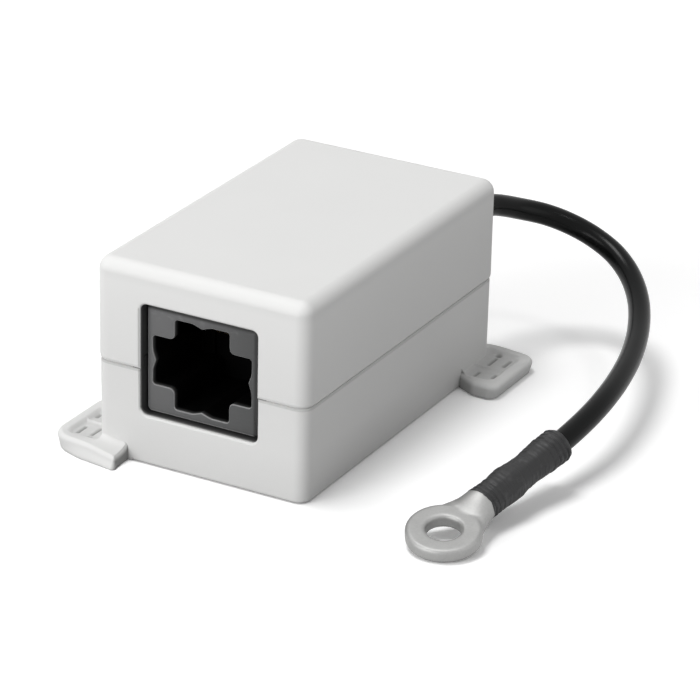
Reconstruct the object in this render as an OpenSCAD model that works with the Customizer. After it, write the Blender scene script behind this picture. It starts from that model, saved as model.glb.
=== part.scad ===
// Inline surge protector for a network cable.
// A two-part plastic box with a modular socket at each end and a ground lead with a ring terminal.
// The box stands on z = 0, its front socket faces -Y, and the origin is the middle of its underside.

/* [Box] */
// Width of the box across a socket
body_w = 26; // [26:0.5:34]
// Length of the box from socket to socket
body_l = 42.8; // [42.8:0.4:60]
// Height of the closed box
body_h = 22.8; // [22.4:0.2:30]
// Height at which cover and base meet
joint_z = 11; // [9:0.2:13]
// Thickness of the side walls
wall = 1.8; // [1.5:0.1:2.2]
// Thickness of the base's floor
floor_t = 2; // [1.8:0.1:2.4]
// Thickness of the cover's roof
roof_t = 1.8; // [1.5:0.1:2.4]
// Radius of the upright corners
corner_r = 1.6; // [1:0.1:2.5]
// Rounding of the cover's top edges
top_round = 1.5; // [0.5:0.1:1.5]
// Rounding of the cover's lower edge
cover_edge = 0.45; // [0.2:0.05:0.6]
// Rounding of the base's upper edge
base_edge = 0.25; // [0.1:0.05:0.4]
// Rounding of the base's foot
foot_edge = 0.45; // [0.1:0.05:0.5]
// Set-back of the base from the cover
joint_step = 0.1; // [0.05:0.05:0.3]
// Draft of the base's walls in degrees
base_draft = 0.3; // [0:0.1:1.5]

/* [Joint between the shells] */
// Thickness of the tongue on the base
tongue_t = 0.8; // [0.6:0.05:0.9]
// Height of the tongue on the base
tongue_h = 1.2; // [0.8:0.1:2]
// Gap round the tongue in its rebate
tongue_gap = 0.1; // [0.05:0.05:0.2]

/* [Ears] */
// Reach of an ear beyond the side wall
ear_reach = 4.95; // [4.5:0.05:8]
// Length of an ear along the side wall
ear_l = 10.3; // [9.5:0.1:14]
// Reach beyond the end wall at the outer corner
ear_tip = 1.3; // [0.8:0.1:2]
// Reach beyond the end wall at the wrap's end
ear_wrap_reach = 2.95; // [2.6:0.05:5]
// Length that the ear wraps round the end wall
ear_wrap = 4.1; // [3:0.1:5]
// Height of the ear's rim
ear_h = 1.7; // [1.4:0.1:2.5]
// Rise of the rim towards the side wall
ear_rise = 0.25; // [0:0.05:0.6]
// Rounding of the ear's top edge
ear_edge = 0.45; // [0.2:0.05:0.6]
// Radius of the fillet between ear and wall
ear_cove = 0.8; // [0.3:0.1:1]
// Height of the ear's underside along its outer side
ear_lift = 0.15; // [0:0.05:0.4]
// Lean of the ear's sides, inwards at the foot
ear_lean = 0.3; // [0:0.05:0.6]
// Splay of the wrap's end, outwards at the foot
wrap_splay = 0.5; // [0:0.05:0.6]
// Width of the rim along the outer side
rim_w = 1.25; // [0.8:0.05:1.6]
// Depth of the pocket below the rim
pocket_d = 0.4; // [0.3:0.05:0.8]

/* [Sockets] */
// Set-back of a socket's face from the end wall
face_recess = 1.2; // [0.8:0.1:1.6]
// Sideways shift of a socket from the middle
port_shift = -0.2; // [-0.4:0.1:0.4]
// Gap between the socket's nose and its window
window_gap = 0.2; // [0.1:0.05:0.4]
// Width of the nose that fills the window
nose_w = 13.9; // [13.5:0.1:14.2]
// Height of the nose
nose_h = 12.5; // [12:0.1:12.8]
// Height of the nose above the board
nose_lift = 0.9; // [0.6:0.1:1]
// Length of the nose
nose_l = 0.9; // [0.7:0.1:1.2]
// Width of the socket behind the nose
jack_w = 14.6; // [14.4:0.1:15]
// Height of the socket behind the nose
jack_h = 13.7; // [13.6:0.1:14.4]
// Depth of the socket from its face
jack_l = 13.6; // [13.4:0.1:14]
// Width of the plug's opening
plug_w = 12.1; // [11.8:0.1:12.3]
// Height of the plug's opening
plug_h = 5.65; // [5.4:0.05:6]
// Height of that opening above the board
plug_lift = 4.1; // [3.8:0.1:4.4]
// Width of the notches above and below
notch_w = 6.7; // [6:0.1:7.2]
// Height of a notch
notch_h = 2.35; // [1.8:0.05:2.4]
// Depth of the plug's cavity
plug_d = 10.2; // [9.8:0.1:10.4]

/* [Contacts] */
// Contacts in one socket
contact_count = 8; // [4:2:8]
// Distance between contacts
contact_pitch = 1.02; // [1:0.01:1.04]
// Width of a contact
contact_w = 0.4; // [0.3:0.05:0.45]
// Thickness of a contact
contact_t = 0.3; // [0.2:0.05:0.35]
// Width of the carrier that holds them
carrier_w = 9.2; // [9:0.1:9.4]
// Depth of the carrier
carrier_l = 2.7; // [2.5:0.1:2.9]
// Height of the carrier
carrier_h = 11.6; // [11.2:0.1:11.8]

/* [Board] */
// Height of the board's underside
board_z = 3.8; // [3.6:0.1:4.2]
// Thickness of the board
board_t = 1.2; // [1:0.1:1.6]
// Gap between the board and the walls
board_gap = 0.3; // [0.2:0.1:0.5]
// Width of a surge tube
tube_w = 3.6; // [3:0.1:4]
// Length of a surge tube
tube_l = 5.2; // [4.8:0.1:5.4]
// Distance between the surge tubes
tube_pitch = 4.4; // [4.1:0.1:4.5]
// Width of a suppressor diode
diode_w = 2.7; // [2.4:0.1:3.2]
// Length of a suppressor diode's body
diode_l = 4; // [3.8:0.1:4.4]
// Height of a suppressor diode
diode_h = 2.1; // [1.8:0.1:2.4]
// Distance between the diodes
diode_pitch = 4.4; // [3.8:0.1:4.8]

/* [Screws] */
// Distance of a screw from the inner side wall
screw_inset = 1.9; // [1.9:0.1:2.2]
// Distance of a screw from the end wall's outside
screw_run = 7.9; // [7:0.1:9]
// Diameter of a screw's head
head_d = 3.8; // [3.4:0.1:4]
// Height of a screw's head
head_h = 1.3; // [1:0.1:1.5]
// Diameter of a screw's shank
shank_d = 2; // [1.8:0.1:2.2]
// Diameter of a screw's core in the cover's post
core_d = 1.7; // [1.4:0.1:1.7]
// Length of a screw under its head
screw_l = 8; // [6:0.5:12]
// Diameter of the cover's screw posts
post_d = 3.5; // [3.3:0.1:3.6]

/* [Ground lead] */
// Diameter of the lead over its insulation
wire_d = 2.5; // [2:0.1:3]
// Gap round the lead in the cover's hole
wire_gap = 0.2; // [0.1:0.05:0.4]
// Length of the sleeve on the ring terminal
sleeve_l = 12.8; // [11:0.2:16]
// Diameter of the sleeve at the ring
sleeve_d = 4; // [4:0.1:4.4]
// Diameter of the sleeve at the lead
sleeve_tail_d = 4; // [3.6:0.1:4.2]
// Distance from the ring's centre to the sleeve
sleeve_run = 6.3; // [5.8:0.1:7]
// Diameter of the sleeve at its waist
waist_d = 3.6; // [3.5:0.1:4]
// Outer diameter of the ring
ring_d = 8; // [8:0.1:10]
// Diameter of the ring's hole
ring_hole_d = 3.7; // [3.2:0.1:4.4]
// Thickness of the ring
ring_t = 1.6; // [1.2:0.1:2]
// Rounding of the ring's edges
ring_edge = 0.4; // [0.1:0.05:0.5]
// Outer diameter of the terminal's barrel
barrel_d = 3.2; // [2.9:0.1:3.3]
// Width of the terminal's neck where the sleeve starts
neck_w = 3.8; // [3.4:0.1:4.2]
// Distance from the ring's centre to the barrel's end
barrel_run = 12.2; // [11:0.1:14]
// Roll of the ring terminal about the lead in degrees
lug_roll = 6.5; // [0:0.5:12]

/* [Hidden] */

// Segments in a rounded corner, facets of a blended form, and overlap of cuts
arc_steps = 6;
blend_fn = 32;
eps = 0.05;

// The box's inner planes
half_w = body_w / 2;
half_l = body_l / 2;
inner_w = half_w - wall;
inner_l = half_l - wall;
roof_z = body_h - roof_t;
base_corner = corner_r - joint_step;
foot_inset = joint_z * tan(base_draft);
window_flare = 0.22;

// The board and what stands on it
board_top = board_z + board_t;
rib_gap = 0.3;
rib_t = 1.2;
rib_y = 13.2;

// A socket's window and openings, measured from the board's top
window_r = 0.75;
nose_r = window_r - window_gap;
plug_shift = -0.25;
plug_r = 0.35;
notch_r = 0.6;
bump_h = 0.38;
bump_w = 2.2;
face_t = 1.2;
bay_w = 8.7;
bay_top = 12.4;
pocket_gap = 0.15;
peg_x = 5.7;
peg_y = 8.9;
peg_d = 3.1;
peg_l = 2.4;
hole_gap = 0.1;

// Rows in which the contacts' tails pass the board
tail_rows = [11.6, 12.7];
tail_l = 1.2;
tail_hole_d = 0.75;

// Rows of parts between the sockets
tube_y = 3.2;
tube_x = -8.4;
cap_l = 1;
diode_y = -3.7;
diode_x = -6.6;
lead_l = 0.5;
lead_t = 0.25;

// Screws, posts and pins, on the corner that the ears leave free
screw_x = inner_w - screw_inset;
screw_y = half_l - screw_run;
head_gap = 0.25;
pillar_wall = 0.9;
locating_d = 1.8;
rest_d = 3.8;
locating_l = 0.6;
web_t = 1;

// Ear outlines in the rear right corner: x, y and corner radius
ear_x = half_w + ear_reach;
ear_near = half_l + ear_tip - ear_l;
near_cut = 1.8;
ear_corners = [
    [ear_x, ear_near, 1.6],
    [ear_x, half_l + ear_tip, 3],
    [half_w - ear_wrap, half_l + ear_wrap_reach, 0.5],
    [half_w - ear_wrap, half_l - 1.1, 0.3],
    [half_w - 1.1, ear_near + near_cut, 0.3],
    [half_w + 2.2, ear_near, 1.8]
];
pocket_corners = [
    [ear_x - rim_w, ear_near + 1.6, 1.2],
    [ear_x - rim_w, half_l + 0.3, 1],
    [half_w - 1.5, half_l + 1.2, 0.5],
    [half_w - 1.5, half_l - 1.1, 0.3],
    [half_w - 1.1, ear_near + 1.6, 0.3]
];

// Rounding of an ear's foot and of a pocket's floor, and width of the rib across the pocket
ear_foot = 0.15;
pocket_round = 0.25;
cross_rib_w = 0.4;

// Slots in a pocket's floor, from the box's corner: x, y and length
pocket_slots = [[1, -2.9, 1.9], [2.7, -2.5, 1.8], [3, -5.9, 0.8], [1, -6.3, 1]];
slot_w = 0.36;
slot_d = 0.25;
notch_side = 1.1;

// Route of the ground lead: up from the board, out of the rear wall, round and down to the ring
wire_route = [
    [9.4, 1.5, 5.8],
    [9.4, 1.5, 7.8],
    [9.4, 2.3, 11.5],
    [9.4, 4.4, 14.8],
    [9.4, 7.7, 16.9],
    [9.4, 11.5, 17.7],
    [9.4, 16.5, 17.7],
    [9.4, 21.4, 17.7],
    [9.4, 22.9, 17.7],
    [9.6, 24.7, 17.5],
    [10.2, 26.7, 17.1],
    [11.7, 29.8, 15.9],
    [14, 32, 14.9],
    [16.6, 33.3, 13.8],
    [19.4, 33.6, 12.7],
    [22.4, 32.9, 11.5],
    [25.3, 30.9, 10.2],
    [28, 27.4, 9],
    [30.3, 22.6, 8],
    [32.1, 17.1, 7.4],
    [33.3, 11.5, 7],
    [33.9, 6.4, 6.6],
    [33.9, 2, 6],
    [33.3, -3.2, 5.1],
    [31.9, -10.1, 3.8]
];
wire_sides = 8;
wire_last = len(wire_route) - 1;
wire_exit = wire_route[7];
earth_at = wire_route[0];
earth_h = earth_at.z - board_top;
eyelet_wall = 0.25;

// The ring terminal lies on the line of the lead's last stretch
lug_run = wire_route[wire_last - 1] - wire_route[wire_last];
lug_dir = lug_run / norm(lug_run);
lug_centre = wire_route[wire_last] - barrel_run * lug_dir;
lug_turn = [asin(lug_dir.z), 0, atan2(lug_dir.y, lug_dir.x) - 90];
sleeve_gap = 0.1;
groove_d = 0.08;
groove_pitch = 1.2;
neck_start = 2.45;

function unit(v) = v / norm(v);

function arc(cx, cy, r, from, to, n) = [
    for (k = [0:n])
        let (a = from + (to - from) * k / n)
            [cx + r * cos(a), cy + r * sin(a)]
];

// Centre of the circle that rounds corner b of the path a, b, c
function fillet_centre(a, b, c, r) =
    let (u = unit(a - b), v = unit(c - b))
        b + unit(u + v) * r / sin(acos(u * v) / 2);

function fillet_points(a, b, c, r, n) =
    let (
        u = unit(a - b),
        v = unit(c - b),
        reach = r / tan(acos(u * v) / 2),
        m = fillet_centre(a, b, c, r),
        s = b + u * reach - m,
        e = b + v * reach - m,
        from = atan2(s.y, s.x),
        turn = (atan2(e.y, e.x) - from + 540) % 360 - 180
    )
        arc(m.x, m.y, r, from, from + turn, n);

function xy(p) = [p.x, p.y];

// Outline through corners [x, y, radius], each rounded by its own radius
function rounded(corners, n = arc_steps) =
    let (m = len(corners)) [
        for (i = [0:m - 1])
            each corners[i][2] == 0
                ? [xy(corners[i])]
                : fillet_points(xy(corners[(i + m - 1) % m]), xy(corners[i]),
                                xy(corners[(i + 1) % m]), corners[i][2], n)
    ];

function rect_corners(x0, x1, y0, y1, r) = [[x0, y0, r], [x1, y0, r], [x1, y1, r], [x0, y1, r]];

// Turned post with rounded rims: four of them span a block with soft edges
module post(r_low, r_high, z_low, z_high, e_low, e_high) {
    rotate_extrude($fn = blend_fn)
        polygon(concat(
            [[0, z_low]],
            arc(r_low - e_low, z_low + e_low, e_low, -90, 0, 3),
            arc(r_high - e_high, z_high - e_high, e_high, 0, 90, arc_steps),
            [[0, z_high]]
        ));
}

module soft_box(r_low, r_high, w, l, z_low, z_high, e_low, e_high) {
    hull()
        for (sx = [-1, 1])
            for (sy = [-1, 1])
                translate([sx * (w - r_high), sy * (l - r_high), 0])
                    post(r_low, r_high, z_low, z_high, e_low, e_high);
}

module inner_outline(inset) {
    w = half_w - inset;
    l = half_l - inset;
    polygon(rounded(rect_corners(-w, w, -l, l, max(corner_r - inset, 0.4))));
}

// Upright plate from an outline in x and z, reaching from y0 to y1
module wall_slab(y0, y1) {
    translate([0, y1, 0])
        rotate([90, 0, 0])
            linear_extrude(height = y1 - y0)
                children();
}

module at_both_ends() {
    children();
    rotate([0, 0, 180])
        children();
}

module window_outline(grow) {
    w = nose_w / 2 + window_gap + grow;
    low = board_top + nose_lift - window_gap - grow;
    high = board_top + nose_lift + nose_h + window_gap + grow;
    polygon(rounded(rect_corners(port_shift - w, port_shift + w, low, high, window_r)));
}

// Window in the front wall, with its outer edge eased
module port_window(face_y) {
    wall_slab(-half_l - 1, -inner_l + 1)
        window_outline(0);
    hull() {
        wall_slab(-face_y - 1, -face_y)
            window_outline(window_flare);
        wall_slab(-face_y, -face_y + window_flare)
            window_outline(0);
    }
}

module wire_passage() {
    translate([wire_exit.x, inner_l - 1, wire_exit.z])
        rotate([-90, 0, 0])
            cylinder(d = wire_d + 2 * wire_gap, h = wall + 2, $fn = 48);
    translate([wire_exit.x, half_l - window_flare, wire_exit.z])
        rotate([-90, 0, 0])
            cylinder(d1 = wire_d + 2 * wire_gap, d2 = wire_d + 2 * (wire_gap + 2 * window_flare),
                     h = 2 * window_flare, $fn = 48);
}

// Places on the free corners, front right and rear left
module at_screws() {
    at_both_ends()
        translate([screw_x, -screw_y, 0])
            children();
}

module at_pins() {
    at_both_ends()
        translate([-screw_x, -screw_y, 0])
            children();
}

module upper_cover() {
    color("gainsboro")
    difference() {
        union() {
            difference() {
                soft_box(corner_r, corner_r, half_w, half_l, joint_z, body_h, cover_edge, top_round);
                translate([0, 0, joint_z - 1])
                    linear_extrude(height = roof_z - joint_z + 1)
                        inner_outline(wall);
                translate([0, 0, joint_z - 1])
                    linear_extrude(height = tongue_h + tongue_gap + 1)
                        inner_outline(wall - tongue_t - tongue_gap);
            }
            at_screws()
                cover_post();
            at_both_ends()
                hold_down_rib();
        }
        at_both_ends()
            port_window(half_l);
        wire_passage();
        at_screws()
            translate([0, 0, board_top - 1])
                cylinder(d = core_d + hole_gap, h = screw_l - board_z + floor_t + 1, $fn = 32);
    }
}

module cover_post() {
    translate([0, 0, board_top])
        cylinder(d = post_d, h = roof_z + eps - board_top, $fn = 48);
    web_z = joint_z + tongue_h + 2 * tongue_gap;
    translate([0, -web_t / 2, web_z])
        cube([screw_inset + eps, web_t, roof_z + eps - web_z]);
}

// Rib under the roof that keeps a socket down on the board
module hold_down_rib() {
    low = board_top + jack_h + rib_gap;
    translate([-jack_w / 2 + 1, -rib_y - rib_t / 2, low])
        cube([jack_w - 2, rib_t, roof_z + eps - low]);
}

module lower_base() {
    color("gainsboro")
    difference() {
        union() {
            difference() {
                union() {
                    at_both_ends()
                        ear();
                    soft_box(base_corner - foot_inset, base_corner, half_w - joint_step,
                             half_l - joint_step, 0, joint_z, foot_edge, base_edge);
                }
                translate([0, 0, floor_t])
                    linear_extrude(height = joint_z)
                        inner_outline(wall);
            }
            translate([0, 0, joint_z - 1])
                linear_extrude(height = tongue_h + 1)
                    difference() {
                        inner_outline(wall - tongue_t);
                        inner_outline(wall);
                    }
            at_screws()
                screw_pillar();
            at_pins()
                locating_pin();
        }
        at_both_ends()
            port_window(half_l - joint_step - foot_inset / 4);
        at_screws()
            screw_seat();
    }
}

module screw_pillar() {
    translate([0, 0, floor_t / 2])
        cylinder(d = head_d + 2 * (head_gap + pillar_wall) - 1, h = board_z - floor_t / 2, $fn = 48);
}

module screw_seat() {
    translate([0, 0, -1])
        cylinder(d = head_d + 2 * head_gap, h = floor_t + 1, $fn = 48);
    translate([0, 0, -1])
        cylinder(d = shank_d + 2 * hole_gap, h = board_z + 2, $fn = 32);
}

module locating_pin() {
    translate([0, 0, floor_t / 2])
        cylinder(d = rest_d, h = board_z - floor_t / 2, $fn = 48);
    translate([0, 0, board_z - eps])
        cylinder(d = locating_d, h = board_t + locating_l + eps, $fn = 32);
}

// Block spanned by one post at each corner of an outline, each leaning in by its own lean at the foot
module soft_plate(corners, lows, heights, leans, foot, edge) {
    m = len(corners);
    hull()
        for (i = [0:m - 1])
            let (p = fillet_centre(xy(corners[(i + m - 1) % m]), xy(corners[i]),
                                   xy(corners[(i + 1) % m]), corners[i][2]))
                translate([p.x, p.y, 0])
                    post(max(corners[i][2] - leans[i], foot + eps), corners[i][2], lows[i], heights[i],
                         foot, min(edge, corners[i][2] - 0.02));
}

module ear() {
    lows = [ear_lift, 0, 0, 0, 0, ear_lift];
    heights = [ear_h, ear_h + ear_rise, ear_h, ear_h, ear_h + ear_rise, ear_h];
    leans = [ear_lean, ear_lean, -wrap_splay, -wrap_splay, ear_lean, ear_lean];
    difference() {
        union() {
            soft_plate(ear_corners, lows, heights, leans, ear_foot, ear_edge);
            ear_fillet(ear_h - 0.02);
        }
        pocket();
        pocket_marks();
    }
    cross_rib();
}

module pocket() {
    lows = [for (c = pocket_corners) ear_h - pocket_d];
    heights = [for (c = pocket_corners) ear_h + 3];
    leans = [for (c = pocket_corners) 0.12];
    soft_plate(pocket_corners, lows, heights, leans, pocket_round, eps);
}

// Slots sunk in the pocket's floor on both sides of the cross rib, and a notch in the rim's inner side
module pocket_marks() {
    low = ear_h - pocket_d - slot_d;
    for (slot = pocket_slots)
        translate([half_w + slot.x - slot_w / 2, half_l + slot.y, low])
            cube([slot_w, slot[2], 1]);
    translate([half_w + 0.9, half_l + 0.6, low])
        linear_extrude(height = 2)
            polygon([[-notch_side / 2, 0], [notch_side / 2, 0], [0, notch_side]]);
}

module cross_rib() {
    translate([half_w - 1, half_l - 4.1, ear_h - pocket_d - eps])
        cube([ear_reach - rim_w + 0.95, cross_rib_w, pocket_round + eps]);
}

// Section of the concave fillet, sunk into the wall and down into the ear
module cove(sink) {
    r = ear_cove;
    low = 0.5;
    polygon(concat(
        [[-sink, -low], [r, -low]],
        arc(r, r, r, 270, 180, arc_steps),
        [[-sink, r]]
    ));
}

// Fillet that carries the ear's rim up into the walls, and dies into them at both ends
module ear_fillet(z) {
    sink = 0.3;
    side = half_w - joint_step - foot_inset;
    end = half_l - joint_step - foot_inset;
    c = base_corner - foot_inset;
    end_run = side - c - half_w + ear_wrap - ear_cove - 0.3;
    side_run = end - c - ear_near - 1.4 - ear_cove;
    translate([side - c, end - c, z]) {
        rotate_extrude(angle = 90, $fn = 48)
            translate([c, 0])
                cove(sink);
        translate([c, 0, 0])
            rotate([90, 0, 0])
                linear_extrude(height = side_run)
                    cove(sink);
        translate([c, -side_run, 0])
            rotate(-90)
                rotate_extrude(angle = 90, $fn = 48)
                    cove(0);
        translate([0, c, 0])
            rotate([90, 0, 270])
                linear_extrude(height = end_run)
                    cove(sink);
        translate([-end_run, c, 0])
            rotate(90)
                rotate_extrude(angle = 90, $fn = 48)
                    cove(0);
    }
}

// Moves a part from a socket's own place to the front or rear end
module at_port(end) {
    rotate([0, 0, end == "front" ? 0 : 180])
        translate([port_shift, face_recess - half_l, board_top])
            children();
}

// Plug's opening: wide middle, a notch above and below, and a small key in each side
module plug_outline() {
    w = plug_w / 2;
    n = notch_w / 2;
    low = plug_lift;
    high = plug_lift + plug_h;
    bottom = low - notch_h;
    top = high + notch_h;
    b = bump_w / 2;
    mid = (low + high) / 2;
    translate([plug_shift, 0])
        polygon(rounded([
            [-w, low, plug_r], [-n, low, notch_r], [-n, bottom, plug_r],
            [-b, bottom, bump_w], [0, bottom + bump_h, 0.3], [b, bottom, bump_w],
            [n, bottom, plug_r], [n, low, notch_r], [w, low, plug_r],
            [w, mid - b, bump_w], [w - bump_h, mid, 0.3], [w, mid + b, bump_w],
            [w, high, plug_r], [n, high, notch_r], [n, top, plug_r],
            [b, top, bump_w], [0, top - bump_h, 0.3], [-b, top, bump_w],
            [-n, top, plug_r], [-n, high, notch_r], [-w, high, plug_r],
            [-w, mid + b, bump_w], [-w + bump_h, mid, 0.3], [-w, mid - b, bump_w]
        ], 3));
}

module jack_housing() {
    color("dimgray")
    difference() {
        union() {
            translate([-jack_w / 2, nose_l, 0])
                cube([jack_w, jack_l - nose_l, jack_h]);
            wall_slab(0, nose_l + 1)
                polygon(rounded(rect_corners(-nose_w / 2, nose_w / 2, nose_lift,
                                             nose_lift + nose_h, nose_r)));
            for (sx = [-1, 1])
                translate([sx * peg_x, peg_y, -peg_l])
                    cylinder(d = peg_d, h = peg_l + 1, $fn = 48);
        }
        wall_slab(-1, plug_d)
            plug_outline();
        translate([-bay_w / 2, face_t, plug_lift + plug_h / 2])
            cube([bay_w, jack_l, bay_top - plug_lift - plug_h / 2]);
        translate([-carrier_w / 2 - pocket_gap, plug_d, -1])
            cube([carrier_w + 2 * pocket_gap, jack_l, bay_top + 1]);
        side_reliefs();
    }
}

// Shallow moulding reliefs in the socket's two sides
module side_reliefs() {
    for (sx = [-1, 1])
        translate([sx * jack_w / 2 - 0.25, nose_l + 2.2, 2.6])
            cube([0.5, jack_l - nose_l - 4.4, jack_h - 5.2]);
}

function tail_y(i) = tail_rows[i % 2];
function contact_x(i) = (i - (contact_count - 1) / 2) * contact_pitch;

// Comb that holds the contacts upright, with an open slot for each leg
module contact_carrier() {
    color("dimgray")
    difference() {
        translate([-carrier_w / 2, plug_d + 2 * pocket_gap, 0])
            cube([carrier_w, carrier_l, carrier_h]);
        for (i = [0:contact_count - 1])
            translate([contact_x(i) - contact_w / 2 - hole_gap / 2,
                       tail_y(i) - contact_t / 2 - hole_gap, -1])
                cube([contact_w + hole_gap, jack_l, carrier_h + 2]);
    }
}

// Flat strip bent along a path in y and z
module strip(path, t) {
    for (i = [0:len(path) - 2])
        let (run = path[i + 1] - path[i])
            translate(path[i])
                rotate(atan2(run.y, run.x))
                    translate([0, -t / 2])
                        square([norm(run), t]);
    for (p = path)
        translate(p)
            circle(d = t, $fn = 24);
}

// Spring contact: tail through the board, leg, run over the cavity, hairpin and sloping tongue
module contact(i) {
    run_z = carrier_h + contact_t / 2;
    path = [
        [tail_y(i), -board_t - tail_l],
        [tail_y(i), run_z],
        [2.3, run_z],
        [1.85, run_z - 0.35],
        [2.2, run_z - 0.75],
        [9.4, plug_lift + plug_h - 0.95]
    ];
    color("gold")
    translate([contact_x(i) - contact_w / 2, 0, 0])
        rotate([90, 0, 90])
            linear_extrude(height = contact_w)
                strip(path, contact_t);
}

module circuit_board() {
    w = inner_w - board_gap;
    l = inner_l - board_gap;
    color("darkgreen")
    translate([0, 0, board_z])
        difference() {
            linear_extrude(height = board_t)
                polygon(rounded(rect_corners(-w, w, -l, l, 0.8), 3));
            translate([0, 0, -board_z])
                for (end = ["front", "rear"])
                    at_port(end) {
                        for (sx = [-1, 1])
                            translate([sx * peg_x, peg_y, -board_t - 1])
                                cylinder(d = peg_d + 2 * hole_gap, h = board_t + 2, $fn = 32);
                        for (i = [0:contact_count - 1])
                            translate([contact_x(i), tail_y(i), -board_t - 1])
                                cylinder(d = tail_hole_d, h = board_t + 2, $fn = 16);
                    }
            translate([0, 0, -1]) {
                at_screws()
                    cylinder(d = shank_d + 2 * hole_gap, h = board_t + 2, $fn = 32);
                at_pins()
                    cylinder(d = locating_d + 2 * hole_gap, h = board_t + 2, $fn = 32);
                translate(xy(earth_at))
                    cylinder(d = 1.2, h = board_t + 2, $fn = 32);
            }
        }
}

// Gas-filled surge tube: ceramic barrel between two square metal end caps
module surge_tube(i) {
    color("lightgray")
    translate([tube_x + i * tube_pitch, tube_y - tube_l / 2, board_top]) {
        for (y = [0, tube_l - cap_l])
            translate([-tube_w / 2, y, 0])
                cube([tube_w, cap_l, tube_w]);
        translate([0, cap_l / 2, tube_w / 2])
            rotate([-90, 0, 0])
                cylinder(d = tube_w - 0.3, h = tube_l - cap_l, $fn = 48);
    }
}

// Moulded diode body with a folded lead at each end
module suppressor_diode(i) {
    lift = 0.15;
    top = diode_h;
    w = diode_w / 2;
    color("dimgray")
    translate([diode_x + i * diode_pitch, diode_y, board_top]) {
        translate([0, diode_l / 2, 0])
            rotate([90, 0, 0])
                linear_extrude(height = diode_l)
                    polygon([
                        [-w + 0.2, lift], [w - 0.2, lift], [w, top / 2],
                        [w - 0.2, top], [0.2 - w, top], [-w, top / 2]
                    ]);
        for (sy = [-1, 1])
            translate([0, sy * diode_l / 2, 0]) {
                translate([-w / 2, sy < 0 ? -lead_l : 0, top / 2 - lead_t / 2])
                    cube([w, lead_l, lead_t]);
                translate([-w / 2, sy < 0 ? -lead_l : lead_l - lead_t, 0])
                    cube([w, lead_t, top / 2]);
                translate([-w / 2, sy < 0 ? -lead_l : -0.6, 0])
                    cube([w, lead_l + 0.6, lift + eps]);
            }
    }
}

// Tinned eyelet that takes the lead's conductor into the board
module earth_terminal() {
    color("silver")
    translate([earth_at.x, earth_at.y, 0]) {
        translate([0, 0, board_top])
            cylinder(d = wire_d + 2 * eyelet_wall, h = earth_h, $fn = 48);
        translate([0, 0, board_z - 0.6])
            cylinder(d = 1, h = board_t + 0.6 + eps, $fn = 32);
    }
}

module case_screws() {
    color("silver")
    at_screws()
        case_screw();
}

// Pan-headed thread-forming screw, driven from below through the board into the cover's post
module case_screw() {
    recess_w = 0.5;
    difference() {
        union() {
            translate([0, 0, floor_t - head_h])
                cylinder(d = head_d, h = head_h, $fn = 48);
            translate([0, 0, floor_t - eps])
                cylinder(d = shank_d, h = board_top - floor_t - hole_gap + eps, $fn = 32);
            translate([0, 0, floor_t])
                cylinder(d = core_d, h = screw_l - 1, $fn = 32);
            translate([0, 0, floor_t + screw_l - 1])
                cylinder(d1 = core_d, d2 = 0.6, h = 1, $fn = 32);
        }
        for (a = [0, 90])
            rotate(a)
                translate([-1, -recess_w / 2, floor_t - head_h - 1])
                    cube([2, recess_w, 1.7]);
    }
}

function tangent(i) = unit(wire_route[min(i + 1, wire_last)] - wire_route[max(i - 1, 0)]);

// Side direction of each ring, carried along the route without twist
function ring_side(i) =
    i == 0
        ? [1, 0, 0]
        : let (s = ring_side(i - 1), t = tangent(i)) unit(s - (s * t) * t);

// Closed skin through a list of rings, each with the same number of points
module loft(rings) {
    m = len(rings) - 1;
    n = len(rings[0]);
    sides = [
        for (i = [0:m - 1])
            for (k = [0:n - 1])
                [i * n + k, (i + 1) * n + k, (i + 1) * n + (k + 1) % n, i * n + (k + 1) % n]
    ];
    ends = [
        [for (k = [0:n - 1]) k],
        [for (k = [0:n - 1]) (m + 1) * n - 1 - k]
    ];
    polyhedron(points = [for (ring = rings) each ring], faces = concat(sides, ends));
}

module ground_wire() {
    color("darkgreen")
    loft([
        for (i = [0:wire_last])
            let (s = ring_side(i), u = cross(tangent(i), s))
                [for (k = [0:wire_sides - 1])
                    let (a = 360 * k / wire_sides)
                        wire_route[i] + wire_d / 2 * (cos(a) * s + sin(a) * u)]
    ]);
}

// Places a part on the ring terminal's axis, +Y towards the lead
module on_lug() {
    translate(lug_centre)
        rotate(lug_turn)
            rotate([0, lug_roll, 0])
                children();
}

// Sleeve's outside at a share t of its length: waisted, with shallow rings moulded in at both ends
function sleeve_r(t) =
    let (
        base = (sleeve_d + (sleeve_tail_d - sleeve_d) * t) / 2,
        waist = (base - waist_d / 2) * pow(max(0, cos(180 * (t - 0.42))), 4),
        ribbed = t < 0.24 || t > 0.72,
        groove = groove_d * (1 - cos(360 * sleeve_l * t / groove_pitch)) / 2,
        rim = max(0, 0.3 - sleeve_l * min(t, 1 - t)) / 0.3
    )
        base - waist - (ribbed ? groove : 0) - 0.12 * rim * rim;

module ground_sleeve() {
    n = 60;
    mouth_r = barrel_d / 2 + sleeve_gap / 2;
    bore_r = wire_d / 2 + sleeve_gap;
    step = barrel_run - sleeve_run + 0.2;
    color("black")
    on_lug()
        translate([0, sleeve_run, 0])
            rotate([-90, 0, 0])
                rotate_extrude($fn = 48)
                    polygon(concat(
                        [[mouth_r, 0]],
                        [for (i = [0:n]) [sleeve_r(i / n), sleeve_l * i / n]],
                        [[bore_r, sleeve_l], [bore_r, step], [mouth_r, step]]
                    ));
}

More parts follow.
